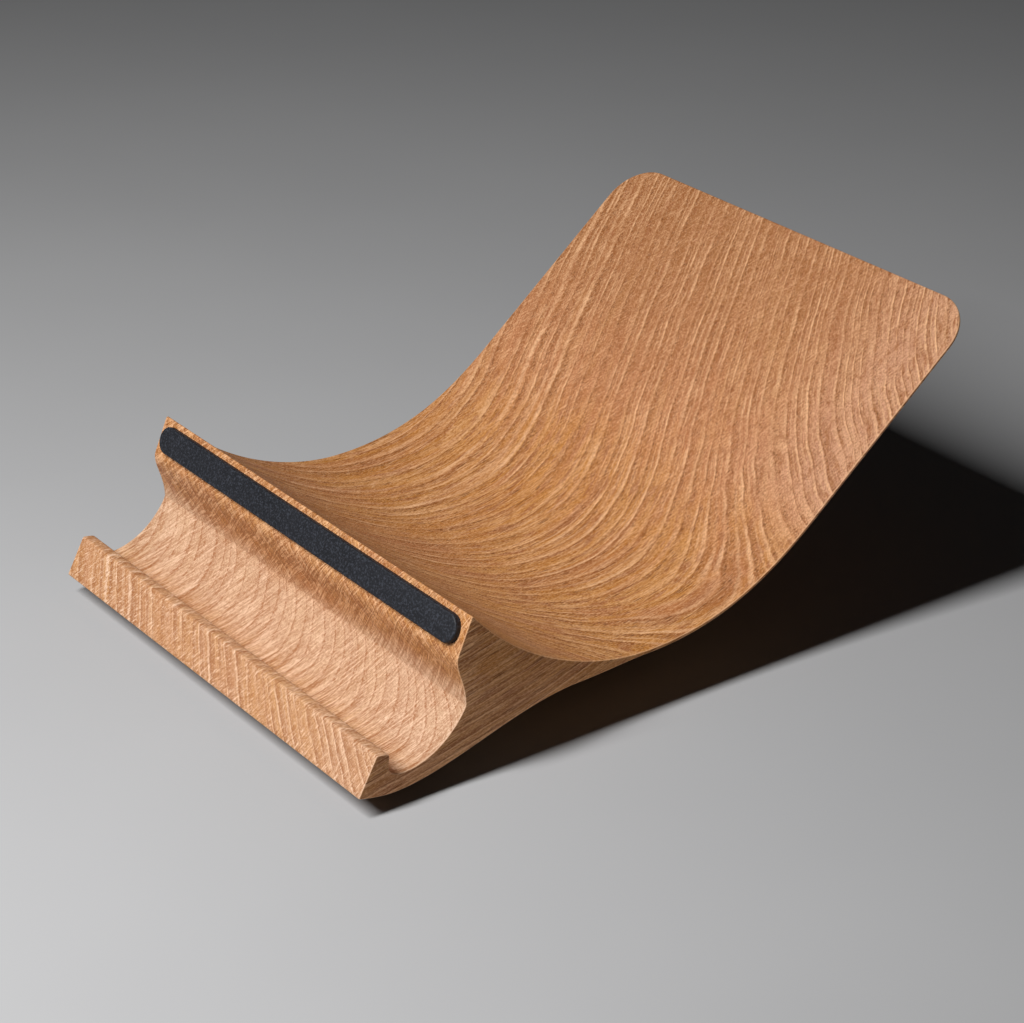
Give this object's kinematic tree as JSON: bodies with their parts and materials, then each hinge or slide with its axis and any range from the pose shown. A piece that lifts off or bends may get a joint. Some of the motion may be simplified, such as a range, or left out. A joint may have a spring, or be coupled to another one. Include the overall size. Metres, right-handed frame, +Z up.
{
  "type": "tablet stand",
  "caption": "One-piece oak tablet stand: low front lip, round groove, sloping ridge with a soft grip strip, and a thin back plate that sweeps up to the rear.",
  "frame": {"origin": "centre of the bounding box, on the surface that the stand rests on", "axes": "+Y from the front lip to the rear edge, +Z up, +X across the width"},
  "size_m": [0.13, 0.1788, 0.0758],
  "materials": {
    "oak": "fine-sanded solid oak with a matt oil finish, growth rings and open pores showing",
    "silicone": "matt, finely textured near-black silicone",
    "adhesive_film": "thin double-sided mounting tape"
  },
  "bodies": {
    "root": {"oak_body": "oak", "grip_strip": "silicone", "grip_strip_tape": "adhesive_film", "front_foot_strip": "silicone", "front_foot_strip_tape": "adhesive_film", "rear_foot_strip": "silicone", "rear_foot_strip_tape": "adhesive_film"}
  },
  "joints": []
}
